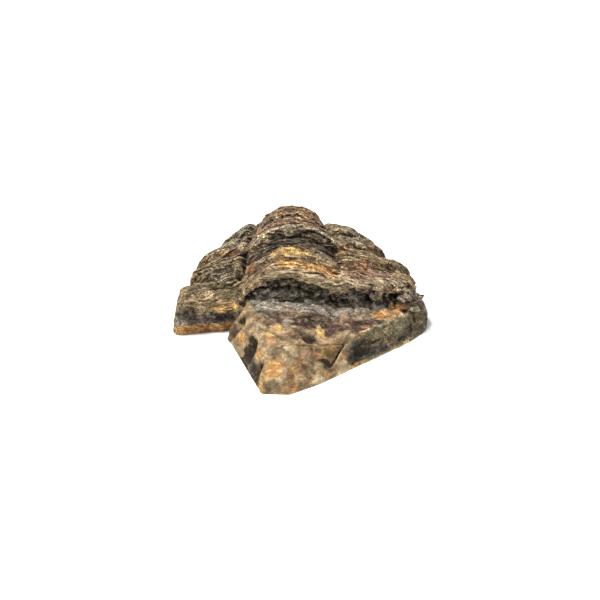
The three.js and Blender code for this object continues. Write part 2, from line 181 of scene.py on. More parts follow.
def span(value, start, full, end, gone):
    """1 from full to end, falling smoothly to 0 at start and at gone."""
    return smooth(start, full, value) * fade(end, gone, value)


def bell(value, at, width):
    return np.exp(-(((value - at) / width) ** 2))


def lerp(a, b, t):
    return a + (b - a) * t


def meet(a, b, k):
    """Minimum of two distances with a rounded edge, k wide."""
    h = np.maximum(k - np.abs(a - b), 0) / k
    return np.minimum(a, b) - h * h * k * 0.25


def join(a, b, k):
    return -meet(-a, -b, k)


# ---------------------------------------------------------------- noise


class Noise:
    """Smooth noise between -1 and 1, from a seeded lattice that repeats every 32 cells."""

    SIZE = 32

    def __init__(self, seed):
        values = np.random.default_rng(seed).uniform(-1.0, 1.0, (self.SIZE,) * 3)
        self.values = values.astype(np.float32).ravel()

    def at(self, points, scale):
        """points is a list of three arrays; scale is the size of a cell, one number or three."""
        scales = (scale,) * 3 if np.isscalar(scale) else scale
        cells, parts = [], []
        for axis, size in zip(points, scales):
            place = axis / size
            base = np.floor(place)
            part = (place - base).astype(np.float32)
            cells.append(base.astype(np.int64) % self.SIZE)
            parts.append(part * part * part * (part * (part * 6 - 15) + 10))
        total = np.zeros(len(points[0]), np.float32)
        for dx in (0, 1):
            wx = parts[0] if dx else 1 - parts[0]
            ix = (cells[0] + dx) % self.SIZE
            for dy in (0, 1):
                wy = wx * (parts[1] if dy else 1 - parts[1])
                iy = ix * self.SIZE + (cells[1] + dy) % self.SIZE
                for dz in (0, 1):
                    wz = wy * (parts[2] if dz else 1 - parts[2])
                    total += wz * self.values[iy * self.SIZE + (cells[2] + dz) % self.SIZE]
        return total

    def cloudy(self, points, scale):
        """Noise with a second octave, half as large and half as strong."""
        shifted = [axis + 17.3 for axis in points]
        return self.at(points, scale) + 0.5 * self.at(shifted, scale / 2)


noises = [Noise(SEED + k) for k in range(6)]


# ---------------------------------------------------------------- the field


def capsule(x, y, z, start, end, start_radius, end_radius):
    along = np.array(end) - start
    d = (x - start[0], y - start[1], z - start[2])
    t = np.clip(sum(d[k] * along[k] for k in range(3)) / (along @ along), 0, 1)
    away = np.sqrt(sum((d[k] - t * along[k]) ** 2 for k in range(3)))
    return lerp(start_radius, end_radius, t) - away


def hoops(x, y, z):
    behind = np.maximum(y - BEND_Y, 0)
    r = np.where(behind > 0, np.hypot(behind, z), z)
    turn = np.where(behind > 0, np.arctan2(behind, z), 0)
    sweep = SWEEP[1] * np.maximum(np.abs(x) - SWEEP[0], 0) ** 2
    return np.minimum(y, BEND_Y) + BEND_RADIUS * turn - sweep, r


def station_at(s):
    return [np.interp(s, STATIONS[:, 0], STATIONS[:, column]) for column in range(1, 8)]


def dome(aside, half):
    """Height of an arch, from 1 in its middle to 0 at its half width."""
    return np.maximum(1 - (aside / half) ** 2, 0) ** DOME_POWER


def ring_relief(s):
    """Rings of the axis: rubbed-down front rings, the trench of a lost ring, then whole rings."""
    relief = LEDGE[1] * smooth(LEDGE[0] - 0.1, LEDGE[0] + 0.3, s)
    for at, width, depth in THIN_GROOVES:
        relief = relief - depth * bell(s, at, width)
    start, end, depth = TRENCH
    relief = relief - depth * span(s, start, start + 0.6, end - 0.4, end)
    relief = relief + THIN_LAYER[2] * bell(s, THIN_LAYER[0], THIN_LAYER[1])
    turn = (s - RING_START) / BAND_PITCH
    p = turn - np.floor(turn)
    rise = smooth(0, 0.12, p) * (1 - 0.5 * smooth(0.15, 0.8, p))
    groove = span(p, 0.78, 0.88, 0.98, 1)
    return relief + np.where(s > RING_START, RING_HEIGHT * (rise - 0.9 * groove) - RING_SUNK, 0)


def band_relief(p):
    """A side band: a steep front edge, a slow fall, then a groove with a thin ridge in it."""
    rise = smooth(0, 0.1, p) * (1 - 0.55 * smooth(0.12, 0.8, p))
    groove = 0.75 * smooth(0.74, 0.86, p) - 0.3 * bell(p, 0.84, 0.035)
    return BAND_HEIGHT * (rise - groove - SUNK)


def bands(s):
    """Which side band a place is in, and how far through it, from 0 to 1."""
    turns = (s - BAND_START) / BAND_PITCH
    band = np.clip(np.floor(turns), 0, len(LEFT_REACH) - 2).astype(int)
    return band, np.clip(turns - band, 0, 1)


def reach_of(table, band, p, r):
    """How far the body reaches aside: stepped from band to band above, even near the ground."""
    stepped = lerp(table[band], table[band + 1], smooth(0.72, 0.98, p))
    bulge = 0.6 * np.sin(np.pi * p) ** 0.6 - 0.5
    even = lerp(table[band], table[band + 1], p) - 0.3
    return lerp(even, stepped + bulge, smooth(3, 9, r))


def near_lens(x, z):
    return bell(x, LENS["x"], LENS["half"]) * bell(z, LENS["z"], LENS["tall"])


def left_ledge(x):
    """Height at which the shoulder on the left starts to slope back."""
    return LEFT_FACE["ledge"] - LEFT_FACE["climb"] * (x - LEFT_FACE["x"])


def face_at(x, z):
    """Place of the broken front face: hollow under the arch, a sloping shoulder on the left."""
    crest, half, floor = STATIONS[0, (1, 2, 4)]
    rim = floor + (crest - floor) * dome(x, half) - ARCH["rim"]
    inside = smooth(0, 0.9, ARCH["half"] - np.abs(x - ARCH["middle"]))
    arch = ARCH["depth"] * smooth(-0.4, 2, rim - z) * inside
    top = np.minimum(SIDE["top"] + SIDE["climb"] * (x - SIDE["start"]), SIDE["highest"])
    side = SIDE["depth"] * smooth(-0.6, 1.8, top - z) * smooth(-1.5, 1, x - SIDE["start"])
    bulge = 1 - ((x - LENS["x"]) / LENS["half"]) ** 2 - ((z - LENS["z"]) / LENS["tall"]) ** 2
    hollow = np.maximum(arch, side) - LENS["out"] * np.sqrt(np.maximum(bulge, 0))
    hollow = hollow * smooth(-0.5, 0.5, z - ARCH["floor"])
    aside = x - LEFT_FACE["x"]
    slant = LEFT_FACE["y"] + LEFT_FACE["slant"] * aside
    shoulder = slant + LEFT_FACE["back"] * np.maximum(z - left_ledge(x), 0)
    return lerp(shoulder, FACE_Y + hollow, smooth(-0.7, 0.5, aside))


def shell_top(x, s, r):
    """Height of the shell above the ground, measured along the hoop at s."""
    crest, half, centre, left_floor, right_floor, left_fall, right_fall = station_at(s)
    left = x < centre
    aside = np.abs(x - centre)
    floor = lerp(left_floor, right_floor, smooth(-1, 1, (x - centre) / half))
    out = np.maximum(aside - half, 0) / 10
    furrow = np.where(left, 0.9, 0.15 + 0.75 * smooth(26, 34, s)) * bell(aside, half, FURROW_WIDTH)
    on_lobe = smooth(-0.6, 0.4, aside - half)
    relief = lerp(ring_relief(s), band_relief(bands(s)[1]), on_lobe) * smooth(1, 6, r)
    fall = np.where(left, left_fall, right_fall) * out * out
    return floor + (crest - floor) * dome(aside, half) - fall - furrow + relief


def thorax(x, y, z):
    s, r = hoops(x, y, z)
    band, p = bands(s)
    reach = np.where(x < 0, reach_of(LEFT_REACH, band, p, r), reach_of(RIGHT_REACH, band, p, r))
    flank = reach - np.abs(x) - np.where(x < 0, LEFT_LEAN, RIGHT_LEAN) * r
    body = meet(shell_top(x, s, r) - r, flank, 2 + 2 * smooth(24, 38, s))
    return meet(body, y - face_at(x, z), 0.8 + 1.6 * fade(-11, -9.4, x))


def margin_distance(x, y):
    """How far a place is behind the front margin of the head, in millimetres."""
    start, slope, bend, straight = MARGIN
    bent = np.clip(x, 0, straight)
    steep = np.where(x > 0, slope + 2 * bend * bent, 0)
    edge = start + slope * bent + bend * bent * bent + steep * np.maximum(x - straight, 0)
    return (y - edge) / np.hypot(1, steep)


def wall_distance(x, y):
    """How far a place is inside the foot of the head's broken left side, in millimetres."""
    along = (WALL_BACK - WALL_FRONT) / np.linalg.norm(WALL_BACK - WALL_FRONT)
    return (x - WALL_FRONT[0]) * along[1] - (y - WALL_FRONT[1]) * along[0]


def head_top(x, y, margin):
    on_cheek = smooth(9, 15, x)
    inset = np.maximum(margin, 0)
    front = 2.2 - smooth(3, 14, x)
    rounded = HEAD_HEIGHT * (1 - np.exp(-inset / front)) + HEAD_CROWN * (1 - np.exp(-inset / 5))
    crisp = meet(RIDGE["foot"] + RIDGE["slope"] * inset, RIDGE["height"] + RIDGE["rise"] * inset, 0.5)
    g = (x - GLABELLA["x"] - GLABELLA["turn"] * y) / (GLABELLA["half"] + GLABELLA["spread"] * y)
    lobe = GLABELLA["rise"] * np.maximum(1 - g * g, 0)
    furrow = GLABELLA["furrow"] * bell(g, 1.02, 0.14) * (1 - on_cheek)
    return lerp(rounded, crisp, on_cheek) + lobe - furrow - 0.9 * smooth(18, 27, x)


def flake(x, y):
    """How far a place is inside the flake, in millimetres, and the crack beside it, from 0 to 1."""
    edges = []
    for k, corner in enumerate(FLAKE_CORNERS):
        edge = FLAKE_CORNERS[(k + 1) % 3] - corner
        edge = edge / np.linalg.norm(edge)
        edges.append((x - corner[0]) * edge[1] - (y - corner[1]) * edge[0])
    upper, right, lower = edges
    offset, width = FLAKE_CRACK[:2]
    cracks = (
        bell(right, offset, width) * smooth(-0.6, 0.2, upper) * smooth(-1, 0, lower),
        bell(lower, 2 * offset, 2.4 * width) * smooth(0.8, 2.2, upper) * smooth(-1, 0, right),
        0.5 * bell(upper, offset, width) * smooth(-1.2, -0.4, right) * smooth(-1.2, -0.4, lower),
    )
    return np.min(edges, axis=0), np.max(cracks, axis=0)


def with_flake(height, x, y):
    start, along_x, along_y = FLAKE_TOP
    corner = FLAKE_CORNERS[0]
    plate = start + along_x * (x - corner[0]) + along_y * (y - corner[1])
    inside, crack = flake(x, y)
    return lerp(height - FLAKE_CRACK[2] * crack, np.maximum(height, plate), smooth(-0.1, 0.2, inside))


def furrows(y, z):
    """For each furrow of the wall: how far aside, in half widths, how far up it, its top and depth."""
    for low, high, wide, narrow, top, depth in WALL_FURROWS:
        up = np.clip(z / top, 0, 1)
        yield np.abs(y - lerp(low, high, up)) / lerp(wide, narrow, up), up, top, depth


def wall_furrows(y, z):
    """How much of a furrow there is at a place on the head's left side, times its depth."""
    deepest = 0 * y
    for aside, _, top, depth in furrows(y, z):
        deepest = np.maximum(deepest, depth * smooth(1.3, 0.1, aside) * fade(top - 3, top + 0.4, z))
    return deepest


def painted_furrow_shade(y, z, noise):
    """Where painted shade makes the furrows and their banks black, from 0 to 1."""
    shade = 0 * y
    for aside, up, top, _ in furrows(y, z):
        near = smooth(1.7, 0.5, aside * (0.8 + 0.3 * up) + 0.6 * noise)
        shade = np.maximum(shade, near * fade(top - 2.6, top + 0.2, z + 1.2 * noise))
    return shade


def wall_relief(y, z):
    forms = sum(out * bell(y, at, width) for at, width, out in WALL_FORMS)
    forms = forms * smooth(0.3, 1.8, z) * (1 - 0.6 * smooth(4.2, 5.8, z))
    forms = forms - 1.8 * smooth(18, 19.4, y) * fade(0.3, 1.8, z)
    return forms - wall_furrows(y, z) * smooth(0.2, 1, z)


def head(x, y, z):
    margin = margin_distance(x, y)
    inward = wall_distance(x, y)
    wall = inward - WALL_LEAN * z + wall_relief(y, z)
    top = with_flake(head_top(x, y, margin), x, y) - z
    block = meet(meet(top, wall, 1.2), margin, 0.8)
    skirt = meet(meet(inward - SKIRT["lean"] * z, SKIRT["height"] - z, 0.6), margin, 0.6)
    skirt = meet(skirt, SKIRT["back"] - y, 0.6)
    back = HEAD_BACK + 3.6 * smooth(16, 23, x) - y
    return meet(meet(join(block, skirt, 0.4), back, 0.6), HEAD_END_X - x, 2.2)


def stone(x, y, z):
    f = join(thorax(x, y, z), head(x, y, z), 0.4)
    for pit in PITS:
        f = meet(f, -capsule(x, y, z, *pit), 0.3)
    for lump in LUMPS:
        f = join(f, capsule(x, y, z, *lump), 0.4)
    return f


def warped(x, y, z):
    """Points moved by smooth noise, so that no edge of the stone runs quite straight."""
    points = [x, y, z]
    near_flake = bell(x, 7.3, 3.2) * bell(y, 8, 2.6)
    strength = smooth(0, 2.5, z) * (1 - 0.8 * near_flake)
    (wide, wide_cell), (small, small_cell) = WARPS
    moves = []
    for k in range(3):
        move = wide * noises[k].at(points, wide_cell) + small * noises[k + 1].at(points, small_cell)
        moves.append(move * strength)
    return x + moves[0], y + moves[1], z + 0.8 * moves[2]


def caves(x, y, z):
    """How deep the rough break of the face and the joint behind the head are eaten away."""
    points = [x, y, z]
    on_face = span(y, 19.4, 20.4, 22.6, 24) * smooth(-10.8, -9.4, x)
    over_rim = z - 8.6 - 4.2 * np.exp(-((x / 7) ** 2)) - 0.08 * x
    on_face = on_face * smooth(5, 6, z) * fade(0.2, 1, over_rim)
    rough = (0.5 + 0.5 * smooth(3, 8, x)) * (1 - 0.8 * near_lens(x, z))
    holes = HOLES[0] * np.maximum(noises[4].at(points, HOLES[1]) - 0.15, 0)
    grains = GRAINS[0] * noises[5].at(points, GRAINS[1])
    joint = JOINT["depth"] * bell(y, JOINT["y"], 0.55) * bell(z, JOINT["z"], 0.45)
    joint = joint * smooth(-9.5, -8, x) * smooth(-0.5, 0.3, noises[3].at(points, 3))
    return on_face * rough * (holes + grains) + joint


def mesh_points():
    """Points, in millimetres, and four-sided faces of the stone's surface."""
    count = 2 * np.ceil((GRID_HIGH - GRID_LOW) / GRID_STEP / 2).astype(int)
    coarse = [GRID_LOW[k] + GRID_STEP * (0.5 + np.arange(0, count[k], 2)) for k in range(3)]
    x, y, z = (a.ravel() for a in np.meshgrid(*coarse, indexing="ij"))
    field = stone(x, y, z).reshape(tuple(count // 2))
    for axis in range(3):
        field = np.repeat(field, 2, axis=axis)
    field = field.ravel()
    i, j, k = np.unravel_index(np.flatnonzero(np.abs(field) < FIELD_REACH), tuple(count))
    x, y, z = (GRID_LOW[a] + GRID_STEP * index for a, index in enumerate((i, j, k)))
    keep = z > -1.2 * GRID_STEP
    near = np.ravel_multi_index((i[keep], j[keep], k[keep]), tuple(count))
    x, y, z = x[keep], y[keep], z[keep]
    field[near] = stone(*warped(x, y, z)) - caves(x, y, z)
    level = np.tile(GRID_LOW[2] + GRID_STEP * np.arange(count[2]), count[0] * count[1])
    field = np.clip(-np.minimum(field, level), -FIELD_REACH, FIELD_REACH)
    grid = openvdb.FloatGrid(background=FIELD_REACH)
    grid.copyFromArray(field.reshape(tuple(count)).astype(np.float32))
    points, quads = grid.convertToQuads(isovalue=0.0)
    return largest_piece(GRID_LOW + points * GRID_STEP, quads)


def largest_piece(points, quads):
    """Drops loose crumbs: each point takes the lowest number that it is linked to."""
    label = np.arange(len(points))
    while True:
        lowest = label[quads].min(axis=1)
        new = label.copy()
        for corner in range(4):
            np.minimum.at(new, quads[:, corner], lowest)
        new = new[new]
        if (new == label).all():
            break
        label = new
    keep = label == np.bincount(label).argmax()
    number = np.cumsum(keep) - 1
    return points[keep], number[quads[keep[quads[:, 0]]]]


# ---------------------------------------------------------------- surface and masks


def raw_mesh():
    """The stone's mesh in millimetres, with its flat base closed by one face."""
    points, quads = mesh_points()
    mesh = bpy.data.meshes.new("trilobite_stone")
    mesh.from_pydata(points.tolist(), [], quads.tolist())
    work = bmesh.new()
    work.from_mesh(mesh)
    flat = [face for face in work.faces if max(v.co.z for v in face.verts) < 0.02]
    bmesh.ops.dissolve_faces(work, faces=flat, use_verts=False)
    for face in work.faces:
        face.smooth = len(face.verts) == 4
        if not face.smooth:
            for edge in face.edges:
                edge.smooth = False
    work.to_mesh(mesh)
    work.free()
    return mesh


def read(items, name, width, kind=np.float32):
    values = np.empty(len(items) * width, kind)
    items.foreach_get(name, values)
    return values.reshape(-1, width)


def neighbour_mean(values, edges, degree):
    total = np.zeros_like(values)
    for here, there in (edges.T, edges.T[::-1]):
        for column in range(3):
            total[:, column] += np.bincount(here, values[there, column], len(values))
    return total / degree[:, None]


def hollow_depth(points, normals, edges, rounds):
    """How far each point lies below the smoothed surface, in millimetres; negative on ridges."""
    degree = np.maximum(np.bincount(edges.ravel(), minlength=len(points)), 1)
    smoothed = points
    for _ in range(rounds):
        smoothed = neighbour_mean(smoothed, edges, degree)
    return ((smoothed - points) * normals).sum(axis=1)


def regions(points):
    """Where each point is: masks from 0 to 1, and coordinates in millimetres."""
    x, y, z = points.T
    xyz = [x, y, z]
    s, r = hoops(x, y, z)
    half, centre = station_at(s)[1:3]
    at = SimpleNamespace(xyz=xyz, x=x, y=y, z=z, s=s, r=r, t=layer_place(xyz, s, half, centre))
    at.body = smooth(-0.6, 0.2, thorax(x, y, z) - head(x, y, z))
    at.head = 1 - at.body
    aside = smooth(8, 11, x)
    under = shell_top(x, s, r) - ring_relief(s) - z + 0.5 * aside * noises[1].at(xyz, 1.6)
    below = smooth(1.6 - 1.3 * aside, 2.4 + 0.1 * aside, under + 0.5 * noises[3].at(xyz, 1.5))
    at.broken = at.body * fade(2.2, 3.2, y - FACE_Y) * below * smooth(-9.4, -8.2, x)
    shoulder = (y - face_at(x, z)) * fade(-10.6, -9.6, x) + 9 * smooth(-10.6, -9.6, x)
    uneven = 0.7 * noises[2].at(xyz, 1.4) + 0.9 * bell(x, -14, 2)
    at.block = at.body * fade(0.5, 1.2, shoulder) * fade(-0.5, 0.4, z - left_ledge(x) + 1 - uneven)
    at.shell = at.body * (1 - at.broken) * (1 - at.block)
    ragged = 0.7 * noises[4].at(xyz, 2.4) + 0.3 * noises[2].at(xyz, 0.9)
    at.axis = at.shell * fade(-0.7, 0.8, np.abs(x - centre) - half + ragged)
    at.lobe = at.shell - at.axis
    at.left = fade(-1, 1, x)
    at.left_lobe = at.lobe * at.left
    at.right_lobe = at.lobe * (1 - at.left)
    furrow = wall_furrows(y, z)
    at.wall = at.head * fade(0.8, 1.8, wall_distance(x, y) - 0.45 * z - furrow)
    # painted shade in the furrows of the head's left side
    at.furrow = at.wall * painted_furrow_shade(y, z, 0.8 * noises[3].at(xyz, 1.1))
    at.margin = margin_distance(x, y)
    at.cheek = at.head * smooth(10, 12.5, x) * fade(2.2, 2.6, at.margin)
    inside, crack = flake(x, y)
    at.flake = at.head * smooth(-0.2, 0.1, inside)
    at.crack = at.head * crack * (1 - at.flake)
    at.lens = at.broken * smooth(0.35, 0.6, near_lens(x, z))
    at.back = smooth(36, 42, s)
    at.rim = at.axis * fade(21.2, 21.7, s) * smooth(-8, -4.5, x)
    front_rings = at.axis * span(s, 20.6, 21.2, 25.2, 25.8)
    front_bands = at.lobe * (0.5 + 0.2 * at.left) * fade(25 - 2 * at.left, 27 - 2 * at.left, s)
    at.calm = np.maximum(np.maximum(front_rings, at.rim), front_bands)
    return at


def spot(xyz, centre, size):
    """1 at the centre, falling away over the half widths in size."""
    return np.exp(-sum(((a - c) / w) ** 2 for a, c, w in zip(xyz, centre, size)))


def layer_place(xyz, s, half, centre):
    """Where a point lies along the body, followed along the shell's layers; in millimetres."""
    aside = xyz[0] - centre
    out = np.maximum(np.abs(aside) - half, 0)
    place = s + np.where(aside < 0, 0.26 * out + 0.012 * out * out, 0.05 * out + 0.032 * out * out)
    for middle, size, lift in KNOTS:
        place = place + lift * spot(xyz, middle, size)
    return place


def laminae(at, spacing, k):
    """Thin layers of shell seen edge on: height, painted shade in the cracks and painted highlights on the
    edges, from 0 to 1.
    """
    place = [at.x, at.t, at.r]
    warp = 0.6 * noises[k].at(place, (5, 2.4, 3.6))
    warp = warp + 0.26 * (1 - 0.7 * at.left_lobe) * noises[k + 1].at(place, (1.8, 1, 1.8))
    turn = at.t / spacing + warp
    layer = np.floor(turn)
    p = turn - layer
    strength = smooth(-0.5, 0.25, noises[k + 2].at([at.x, 3.7 * layer, at.r], (3.6, 1.9, 5)))
    strength = strength * (1 - 0.7 * at.calm) * (1 - 0.5 * at.back) * at.shell
    height = smooth(0, 0.2, p) * (1 - 0.8 * p)
    crack = fade(0, 0.16, p) + smooth(0.9, 1, p)
    edge = bell(p, 0.28, 0.13)
    return height * strength, crack * strength, edge * strength


def roughness_at(at):
    """How coarse the grain of the stone is, from 0 to 1."""
    smooth_parts = np.maximum(np.maximum(at.cheek, at.wall), at.flake)
    on_head = at.head * smooth(8.5, 13, at.y - 0.12 * at.x) * (1 - smooth_parts)
    broken = at.broken * (1 - 0.6 * at.lens) * smooth(0.3, 0.9, at.broken)
    return broken + 0.5 * on_head + 0.3 * at.shell * (1 - at.calm) + 0.3 * at.block


def roughen(points, normals, at):
    """Moves points along their normals; also gives painted shade in cracks and in dips of the grain and
    painted highlights on edges and on bumps of the grain, from 0 to 1.
    """
    move, dark, light = 0, 0, 0
    for spacing, rise, strength, share, k in LAYERS:
        height, crack, edge = laminae(at, spacing, k)
        move = move + rise * (height - SUNK * at.shell)
        dark = np.maximum(dark, strength * crack)
        light = np.maximum(light, share * edge)
    coarse = lerp(noises[5].at(at.xyz, 1.5), noises[5].at(at.xyz, (2.6, 1.2, 1.2)), at.head)
    grain = noises[0].at(at.xyz, 0.65)
    rough = roughness_at(at)
    still = 1 - 0.7 * np.maximum(at.flake, at.crack)
    move = move + rough * (0.22 * coarse + 0.3 * grain) + 0.1 * at.head * still * noises[2].at(at.xyz, 2.6)
    uneven = at.cheek * (1 - at.flake) + 0.7 * at.block
    move = move + uneven * (0.28 * noises[4].at(at.xyz, (2.6, 2.6, 1.2)) + 0.14 * noises[1].at(at.xyz, 0.9))
    # painted shade in the dips of the grain and painted highlight on its bumps
    dark = dark + rough * smooth(0.15, 0.6, -grain - 0.4 * coarse)
    light = light + rough * smooth(0.15, 0.6, grain + 0.4 * coarse)
    move = move * smooth(0, 0.7, at.z) * fade(0.5, 0.9, -normals[:, 2])
    return points + normals * move[:, None], dark, light


# Places where one colour shows, or takes over: colour, centre, half widths in millimetres, strength. Black
# patches marked below are painted shade.
PATCHES = (
    # left side lobe
    ("amber", -12.6, 30.4, 11.6, 3.4, 1.4, 1, 0.6),
    ("rust", -11.4, 29.8, 12, 3, 0.7, 0.8, 0.7),
    ("slate", -12.6, 26.2, 10.4, 2.8, 0.7, 0.7, 1),
    ("black_and_shade", -13.4, 24.2, 8.6, 1.4, 0.4, 0.5, 0.8),
    ("black_and_shade", -15, 27.8, 10.2, 3, 0.35, 0.6, 0.7),
    ("grey", -13, 25.2, 9.4, 2.4, 0.8, 0.8, 0.7),
    ("ochre", -16.8, 30.2, 9.8, 1.1, 1.4, 1.5, 1.1),
    ("ochre", -18.8, 26.4, 8.2, 1.2, 1.4, 1.2, 1.1),
    ("amber", -20.2, 23.4, 7.4, 1, 1.6, 1, 0.8),
    ("olive", -12, 22.4, 7, 1.6, 1.4, 1, 0.8),
    ("sand", -15.4, 21.6, 6.9, 4.4, 1.8, 1.4, 1),
    ("gold", -12, 21, 5.4, 2.6, 1.6, 0.9, 1.3),
    ("earth", -11.2, 23.2, 8.6, 1.6, 0.8, 0.8, 0.8),
    # painted shade in a pit
    ("black_and_shade", -10, 22.2, 8, 0.9, 1, 0.8, 1),
    # painted shade in the furrow beside the axis, under a pit
    ("black_and_shade", -8.7, 29, 11.6, 0.8, 1.4, 0.8, 0.9),
    # axis
    ("rust", -7.6, 22.4, 9.6, 0.9, 1.2, 1.6, 0.5),
    ("earth", -5.6, 23.2, 12.2, 2.6, 1.6, 1.6, 0.9),
    ("rust", -7.2, 24.4, 12, 1.3, 1.2, 1, 0.9),
    ("amber", -6, 20.8, 10.4, 1.5, 1, 0.7, 0.8),
    ("earth", -8.9, 20.9, 8.2, 1.2, 1.4, 1.4, 0.9),
    ("amber", -6.2, 28.6, 14.4, 1.6, 0.8, 0.8, 0.8),
    ("amber", 4.2, 34.5, 17.6, 1.6, 2.5, 1.2, 0.7),
    # the next two: painted shade in the trench of the lost ring
    ("black_and_shade", 3.5, 28.6, 15.6, 3.4, 0.9, 1.2, 0.9),
    ("black_and_shade", 7.6, 28.8, 13.6, 1.4, 1.2, 1.6, 0.8),
    ("grey", 6.4, 25.4, 14.4, 2.2, 1.2, 1.2, 0.8),
    ("black_and_shade", 1, 21.6, 11.4, 3, 1.2, 1, 0.6),
    # right side lobe
    ("rust", 12.4, 25.6, 12.6, 3.6, 1.3, 1.1, 0.7),
    ("amber", 10.6, 24.6, 12.2, 2.4, 0.8, 0.8, 0.7),
    ("plum", 16.6, 22.8, 11.2, 3.4, 1.4, 1.2, 0.8),
    ("sand", 10.2, 21.4, 9.8, 1.8, 1, 1, 0.8),
    ("slate", 13, 34, 13.2, 2.2, 1.8, 1, 0.6),
    ("plum", 14, 30.8, 13, 3, 0.8, 1, 0.8),
    ("amber", 12, 29.4, 13.6, 2.6, 0.8, 0.8, 0.9),
    ("gold", 16.4, 32, 12.6, 1.6, 1.8, 1.2, 0.5),
    ("sand", 20.4, 25, 11, 1.8, 1.6, 1.2, 0.8),
    ("amber", 20, 21.8, 9.4, 1.8, 0.8, 0.8, 0.7),
    # painted shade in a pit
    ("black_and_shade", 19.2, 21.6, 6.8, 2.2, 1.2, 0.8, 0.9),
    ("olive", 23.2, 21.4, 6.8, 1.4, 1.4, 1, 0.6),
    # top of the head
    ("slate", -4.6, 16.6, 7.6, 2.6, 0.8, 0.8, 0.8),
    ("plum", 0, 17, 7.5, 1.8, 1, 0.8, 0.8),
    ("earth", -3.4, 12.8, 7.3, 2.2, 0.9, 0.8, 0.9),
    ("earth", -5.4, 14.4, 7.4, 1.2, 1.4, 0.8, 0.5),
    ("plum", 11, 16.2, 6, 2.6, 1.2, 0.8, 0.8),
    ("gold", 6.2, 12.4, 6, 0.9, 1.5, 0.8, 1.2),
    ("wine", 3.2, 10.6, 6.4, 2.6, 1.2, 1, 0.8),
    # painted shade in a pit
    ("black_and_shade", 3.8, 9.9, 5.8, 1.6, 1, 1, 1.3),
    ("sand", 10.6, 12, 5.2, 2.2, 1.3, 0.8, 1.1),
    # painted shadow under the tip of the flake
    ("black_and_shade", 7, 6.4, 2.6, 1.5, 0.6, 0.9, 1.2),
    ("earth", 6.6, 9.9, 4.9, 2.8, 0.3, 0.5, 1),
    ("wine", 3.4, 15.6, 7, 1.8, 0.9, 0.9, 1.5),
    ("wine", 6.8, 14.5, 6, 2.4, 0.9, 1, 1.5),
    ("wine", 9.8, 13.9, 5.7, 2.4, 0.9, 0.9, 1.5),
    ("black_and_shade", 2, 14.8, 7.3, 1.6, 0.6, 0.7, 1.1),
    # painted shade in a crevice
    ("black_and_shade", 2.6, 15.6, 7.2, 1, 0.5, 0.6, 1.3),
    ("rust", 14.6, 14.6, 5.5, 2.6, 0.5, 0.5, 0.9),
    ("grey", -0.4, 13.4, 7.4, 1, 1.8, 0.8, 0.8),
    ("gold", -2, 11.6, 7.2, 1, 1.2, 0.8, 0.8),
    ("slate", 4.4, 5.9, 3.4, 1.2, 0.8, 0.8, 0.8),
    ("sand", 13, 17.6, 6.3, 3.6, 1.5, 1, 0.4),
    ("amber", 17.6, 18.2, 5.7, 2.8, 1.4, 1.2, 0.95),
    ("amber", 20.8, 20.2, 5.6, 2, 1.6, 1.2, 1),
    ("amber", 13.6, 12.9, 5, 0.7, 0.5, 0.5, 1),
    # lateral face of the head
    ("black_and_shade", 14.6, 12.2, 3.2, 2.2, 1.4, 1.3, 0.8),
    ("black_and_shade", 18.4, 14.4, 1.8, 2.4, 1.4, 0.5, 0.7),
    ("grey", 21.6, 18, 4.2, 3, 2, 0.7, 0.7),
    ("slate", 19, 15.6, 2.6, 3, 2, 1, 0.6),
    ("black_and_shade", 16, 13.4, 3, 2.6, 1.6, 0.4, 1),
    ("black_and_shade", 21.4, 16.6, 1.5, 3, 1.8, 0.35, 1),
    ("olive", 24.6, 21.6, 3.6, 1.6, 2.4, 2.4, 0.8),
    # painted shade in a crevice at the right end of the head
    ("black_and_shade", 23.9, 20, 3.6, 0.5, 0.9, 1.6, 0.8),
    # left side and front corner of the head
    ("earth", -10.6, 17.8, 3, 2.2, 1.4, 3.2, 1.1),
    # painted shade in a hollow of the left side
    ("black_and_shade", -8.9, 16.6, 5.4, 1, 0.8, 1.2, 1.1),
    ("slate", -6.7, 7.6, 1.8, 1.5, 1.6, 2, 1.3),
    # painted shade in a furrow of the left side
    ("black_and_shade", -6.2, 5.2, 1.8, 1.5, 1.2, 1.8, 1.2),
    ("amber", -9, 13.6, 3.6, 1.2, 1.2, 1.8, 0.9),
    ("earth", -9.8, 15.6, 2.4, 1.4, 0.8, 2.2, 1),
    ("grey", -6, 12.8, 6.8, 0.9, 1.2, 0.7, 0.7),
    ("olive", 6.2, 6.4, 3, 1.6, 1, 1, 0.7),
    ("earth", 5.6, 8.6, 5, 0.9, 0.9, 0.7, 0.8),
    ("amber", -5.3, 7.2, 4.8, 0.9, 0.9, 1, 1.1),
    ("amber", -3.4, 9.6, 6.6, 1, 2.4, 1, 0.8),
    ("gold", -3.4, 3.4, 3.4, 1.3, 1.6, 1.8, 1.2),
    ("amber", -2.6, 3.6, 3.8, 1.4, 1.6, 1.8, 1.4),
)

